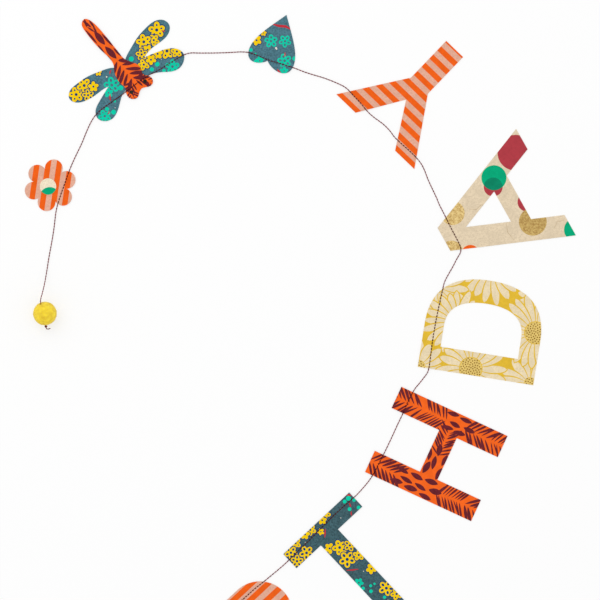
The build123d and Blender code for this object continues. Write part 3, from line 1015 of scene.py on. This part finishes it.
def tube(name, line, radius, node, material, relief=True, pressed=None, tight=None):
    """A spun tube along a line in millimetres, with ridged plies, broad where pressed and darker there,
    as painted shade round the thread where it is sewn through the papers.
    """
    verts, faces = [], []
    normal = Vector((0, 0, 1))
    travelled = 0.0
    last = len(line) - 1
    for i, point in enumerate(line):
        ahead = (line[min(i + 1, last)] - line[max(i - 1, 0)]).normalized()
        level = Vector((0, 0, 1)) - ahead * ahead.z
        normal = (level if level.length > STEEP else normal - ahead * normal.dot(ahead)).normalized()
        across = ahead.cross(normal) * (1 + PRESSED * (pressed[i] if pressed else 0))
        if i:
            travelled += (point - line[i - 1]).length
        for j in range(SIDES):
            angle = 2 * math.pi * j / SIDES
            ridge = math.cos(PLIES * (angle - 2 * math.pi * travelled / (PLIES * PLY_PITCH)))
            reach = radius * (1 - PLY_RELIEF / 2 + PLY_RELIEF / 2 * ridge if relief else 1)
            vert = point + (normal * math.cos(angle) + across * math.sin(angle)) * reach
            vert.z = max(vert.z, 0)
            verts.append(vert * MM)
    for i in range(last):
        for j in range(SIDES):
            k = (j + 1) % SIDES
            faces.append((i * SIDES + j, i * SIDES + k, (i + 1) * SIDES + k, (i + 1) * SIDES + j))
    faces.append(tuple(range(SIDES))[::-1])
    faces.append(tuple(last * SIDES + j for j in range(SIDES)))
    mesh = bpy.data.meshes.new(name)
    mesh.from_pydata(verts, [], faces)
    mesh.materials.append(material)
    # Where the thread lies on a paper it takes the second, darker material: painted shade round the
    # stitches
    if tight:
        mesh.materials.append(tight)
        for i in range(last * SIDES):
            mesh.polygons[i].material_index = 1 if pressed[i // SIDES] > 0.5 else 0
    return dressed(name, mesh, node)


def over_paper(node_loops, x, y):
    """Whether a place is inside the outline of a paper and outside its holes."""
    inside = False
    for loop in node_loops:
        for (ax, ay), (bx, by) in zip(loop, loop[1:] + loop[:1]):
            if (ay > y) != (by > y) and x < ax + (bx - ax) * (y - ay) / (by - ay):
                inside = not inside
    return inside


SEWN = {"dragonfly_wings", "dragonfly_body", *PLACES} - {"dragonfly", "flower_centre"}
STITCHED = {name: loops_of(name) for name in sorted(SEWN)}


def sheets_at(x, y):
    """The height of the papers' upper side at a place, or 0 where only the table is."""
    top = 0
    for name, loops in STITCHED.items():
        xs = [p[0] for p in loops[0]]
        ys = [p[1] for p in loops[0]]
        if min(xs) < x < max(xs) and min(ys) < y < max(ys) and over_paper(loops, x, y):
            top = max(top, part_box(name)[1].z / MM)
    return top


def eased(values, reach):
    """Running mean over the neighbours, so that a change of height takes a few millimetres."""
    out = []
    for i in range(len(values)):
        near = values[max(0, i - reach):i + reach + 1]
        out.append(sum(near) / len(near))
    return out


def twist(needle, bobbin, first, last):
    """Wind two free stretches round each other by whole turns, slowly at the ends."""
    share = [smooth(min(i - first, last - i) * STEP / TWIST_START) for i in range(first, last + 1)]
    turns = round(sum(share) * STEP / TWIST_PITCH)
    wound = 0.0
    paths = [list(needle[first:last + 1]), list(bobbin[first:last + 1])]
    for i in range(first, last + 1):
        tight = share[i - first]
        wound += tight / (sum(share) or 1)
        high, low = paths[0][i - first], paths[1][i - first]
        spread = (high - low) / 2
        run = paths[1][min(i + 1, last) - first] - paths[1][max(i - 1, first) - first]
        turned = Matrix.Rotation(2 * math.pi * turns * wound, 3, run.normalized()) @ spread.normalized()
        apart = spread.length + (TWIST_RADIUS - spread.length) * tight
        needle[i] = (high + low) / 2 + turned * apart
        bobbin[i] = (high + low) / 2 - turned * apart


def sewn_lines():
    """The needle and bobbin lines with their stitches on the papers and their twist between them."""
    count = min(len(BOBBIN_LINE), len(NEEDLE_LINE))
    needle = [p.copy() for p in NEEDLE_LINE[:count]]
    bobbin = [p.copy() for p in BOBBIN_LINE[:count]]
    on_paper = eased([1 if sheets_at(p.x, p.y) else 0 for p in bobbin], EDGE_STEPS)
    inside = eased([1 if share >= 1 else 0 for share in on_paper], EDGE_STEPS)
    first = None
    for i in range(count):
        if on_paper[i] < 1:
            first = i if first is None else first
            if i == count - 1 or on_paper[i + 1] >= 1:
                twist(needle, bobbin, first, i)
                first = None
            continue
        phase = (i * STEP / STITCH) % 1
        dip = smooth(1 - min(phase, 1 - phase) * STITCH / STITCH_HOLE) * max(0, 2 * inside[i] - 1)
        needle[i].z -= STITCH_DIP * dip
        bobbin[i].z += BOBBIN_RISE * dip
    return needle, bobbin, on_paper


needle_line, bobbin_line, sewn = sewn_lines()
# The needle thread is darker where it lies on the papers: painted shade round its stitches
needle = tube(
    "needle_strand", needle_line, STRAND, "needle_thread", MATERIALS["needle"],
    pressed=sewn, tight=MATERIALS["stitch"],
)
bobbin = tube("bobbin_strand", bobbin_line, STRAND, "bobbin_thread", MATERIALS["bobbin"])


# Knots and felt balls

KNOT_LINE = 0.36
KNOT_STEPS = 90
KNOT_LOOPS = 3
KNOT_DEPTH = 1.6


def knot(node):
    """A tied overhand knot of two threads, as large as its node."""
    low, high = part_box(node)
    centre = (low + high) / 2 / MM
    size = (high.x - low.x) / 2 / MM - KNOT_LINE
    line = []
    for i in range(KNOT_STEPS + 1):
        t = 2 * math.pi * i / KNOT_STEPS
        loop = Vector((
            math.sin(t) + 2 * math.sin(2 * t),
            math.cos(t) - 2 * math.cos(2 * t),
            -KNOT_DEPTH * math.sin(KNOT_LOOPS * t),
        ))
        line.append(centre + loop * (size / 3))
    return tube("tied_" + node, line, KNOT_LINE, node, MATERIALS["needle"], False)


# The balls' lumps and dents, and their loose fibres, in millimetres
DENT_REACH = 2.2
DENT_DEPTH = 0.9
LUMP = 0.28
LUMP_SHARE = 0.6
LUMP_WAVE = 0.28
FINE_SHARE = 0.3
FINE_WAVE = 1.1
INSET = 0.12
FIBRES = 1500
FIBRE_RADIUS = 0.022
FIBRE_LENGTH = (1.2, 3.4)
FIBRE_BOW = (0.05, 0.4)
FIBRE_SWAY = 0.4
FIBRE_RINGS = 6
FIBRE_SIDES = 3


def mesh_of(bm, name, material):
    mesh = bpy.data.meshes.new(name)
    bm.to_mesh(mesh)
    bm.free()
    mesh.materials.append(MATERIALS[material])
    return mesh


def felt_ball(node, shift):
    """A wool ball: lumpy, drawn in where the threads pass, with loose fibres lying over it."""
    low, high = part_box(node)
    centre = (low + high) / 2 / MM
    radius = (high.x - low.x) / 2 / MM
    entries = [Vector((x, y + shift, z)) for x, y, z in ENTRIES]
    bm = bmesh.new()
    bmesh.ops.create_icosphere(bm, subdivisions=6, radius=1)
    for vert in bm.verts:
        out = vert.co.normalized()
        place = centre + out * radius
        lump = noise.noise(place * LUMP_WAVE) * LUMP + noise.noise(place * FINE_WAVE) * LUMP * FINE_SHARE
        dent = sum(
            DENT_DEPTH * math.exp(-(((place - entry).length / DENT_REACH) ** 2) * 2) for entry in entries
        )
        vert.co = (centre + out * (radius - INSET + lump * LUMP_SHARE - dent)) * MM
    fibres(bm, centre, radius)
    dressed("wool_" + node, mesh_of(bm, node, "wool"), node)


def fibres(bm, centre, radius):
    """Loose wool: bowed hairs that lie on the ball and stay above the table."""
    for _ in range(FIBRES):
        out = Vector([random.gauss(0, 1) for _ in range(3)]).normalized()
        along = out.orthogonal()
        along.rotate(Matrix.Rotation(random.uniform(0, 2 * math.pi), 3, out))
        length = random.uniform(*FIBRE_LENGTH)
        bow = random.uniform(*FIBRE_BOW)
        rings = []
        for k in range(FIBRE_RINGS):
            share = k / (FIBRE_RINGS - 1)
            flat = along * (share - 0.5) * length
            side = out.cross(along) * math.sin(share * 3) * FIBRE_SWAY
            height = radius + bow * math.sin(math.pi * share) - INSET
            place = (out * radius + flat + side).normalized() * height
            if centre.z + place.z < FIBRE_RADIUS * 2:
                place.z = FIBRE_RADIUS * 2 - centre.z
            ring = []
            for corner in range(FIBRE_SIDES):
                turn = 2 * math.pi * corner / FIBRE_SIDES
                around = out * math.cos(turn) + out.cross(along) * math.sin(turn)
                ring.append(bm.verts.new((centre + place + around * FIBRE_RADIUS) * MM))
            rings.append(ring)
        for before, after in zip(rings, rings[1:]):
            for corner in range(FIBRE_SIDES):
                following = (corner + 1) % FIBRE_SIDES
                bm.faces.new((before[corner], before[following], after[following], after[corner]))
        bm.faces.new(rings[0][::-1])
        bm.faces.new(rings[-1])


# Where the threads enter and leave the right ball, and how far off the left one lies
ENTRIES = ((-221.4, 92.4, 14.2), (-217.6, 74.2, 8.3))
END_SHIFT = -413
felt_ball("felt_ball_right", 0)
felt_ball("felt_ball_left", END_SHIFT)
right_knot = knot("end_knot_right")
left_knot = knot("end_knot_left")


# Eyes: two dark dabs on the dragonfly's head

EYE_RINGS = 7
EYE_SPOKES = 36
EYE_UNEVEN = 0.1
EYE_WAVES = 1.4
EYE_OWN = 40


def eye(node):
    """A low dome with a slightly uneven edge."""
    low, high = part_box(node)
    centre = (low + high) / 2
    radius = (high.x - low.x) / 2
    bm = bmesh.new()
    rows = []
    for i in range(EYE_RINGS):
        share = i / (EYE_RINGS - 1)
        height = low.z + (high.z - low.z) * (1 - share**3)
        row = []
        for j in range(EYE_SPOKES):
            angle = 2 * math.pi * j / EYE_SPOKES
            x, y = math.cos(angle), math.sin(angle)
            uneven = noise.noise((x * EYE_WAVES, y * EYE_WAVES, centre.x * EYE_OWN))
            out = radius * share * (1 - EYE_UNEVEN * (0.5 + 0.5 * uneven))
            row.append(bm.verts.new((centre.x + out * x, centre.y + out * y, height)))
        rows.append(row)
    for inner, outer in zip(rows, rows[1:]):
        for j in range(EYE_SPOKES):
            k = (j + 1) % EYE_SPOKES
            bm.faces.new((inner[j], outer[j], outer[k], inner[k]))
    bmesh.ops.remove_doubles(bm, verts=bm.verts, dist=1e-7)
    bm.faces.new([bm.verts.new((v.co.x, v.co.y, low.z)) for v in reversed(rows[-1])])
    bmesh.ops.remove_doubles(bm, verts=bm.verts, dist=1e-7)
    dressed("dab_" + node, mesh_of(bm, node, "eye"), node)


eye("dragonfly_eye_left")
eye("dragonfly_eye_right")


# Stage: table, light and camera, in metres and watts

VIEW_END = 50
FLOOR_SIZE = 40
FLOOR_WHITE = 0.97
BRIGHTER_TO_CAMERA = 0.6
WORLD_STRENGTH = 0.88
LAMP_SIZE = 2.6
LAMP_POWER = 15
LAMP_PLACE = (-1.1, 1.5, 2.2)
LAMP_AIM = Vector((-0.02, 0.05, 0))


def stage_floor():
    """A white table that glows a little to the camera, so that it stays white round the shadows."""
    nodes = Nodes("table")
    bpy.ops.mesh.primitive_plane_add(size=FLOOR_SIZE)
    floor = bpy.context.object
    floor.name = "table_top"
    floor.data.materials.append(nodes.material)
    white = (FLOOR_WHITE, FLOOR_WHITE, FLOOR_WHITE, 1)
    nodes.surface({"Base Color": white, "Roughness": 0.9, "Specular IOR Level": 0})
    seen = nodes.tree.nodes.new("ShaderNodeLightPath").outputs["Is Camera Ray"]
    glow = nodes.add("Emission", {"Strength": 1})
    share = nodes.tree.nodes.new("ShaderNodeMath")
    share.operation = "MULTIPLY"
    nodes.feed(share, {0: seen, 1: BRIGHTER_TO_CAMERA})
    blend = nodes.add("MixShader", {0: share.outputs[0], 1: nodes.shader.outputs[0], 2: glow})
    nodes.feed(nodes.tree.nodes["Material Output"], {"Surface": blend})


def stage_light():
    world = bpy.data.worlds.new("studio")
    world.use_nodes = True
    world.node_tree.nodes["Background"].inputs["Color"].default_value = (1, 1, 1, 1)
    world.node_tree.nodes["Background"].inputs["Strength"].default_value = WORLD_STRENGTH
    bpy.context.scene.world = world
    data = bpy.data.lights.new("softbox", "AREA")
    data.shape = "DISK"
    data.size = LAMP_SIZE
    data.energy = LAMP_POWER
    lamp = bpy.data.objects.new("softbox", data)
    lamp.location = LAMP_PLACE
    aim = LAMP_AIM - lamp.location
    lamp.rotation_euler = aim.to_track_quat("-Z", "Y").to_euler()
    bpy.context.scene.collection.objects.link(lamp)


def stage_camera():
    data = bpy.data.cameras.new("overhead")
    data.sensor_width = SENSOR
    data.lens = SENSOR * CAMERA_HEIGHT / (FRAME_WIDTH * MM)
    data.clip_end = VIEW_END
    camera = bpy.data.objects.new("overhead", data)
    camera.location = (FRAME_CENTRE[0] * MM, FRAME_CENTRE[1] * MM, CAMERA_HEIGHT)
    bpy.context.scene.collection.objects.link(camera)
    bpy.context.scene.camera = camera


stage_floor()
stage_light()
stage_camera()
bpy.context.scene.view_settings.view_transform = "Standard"
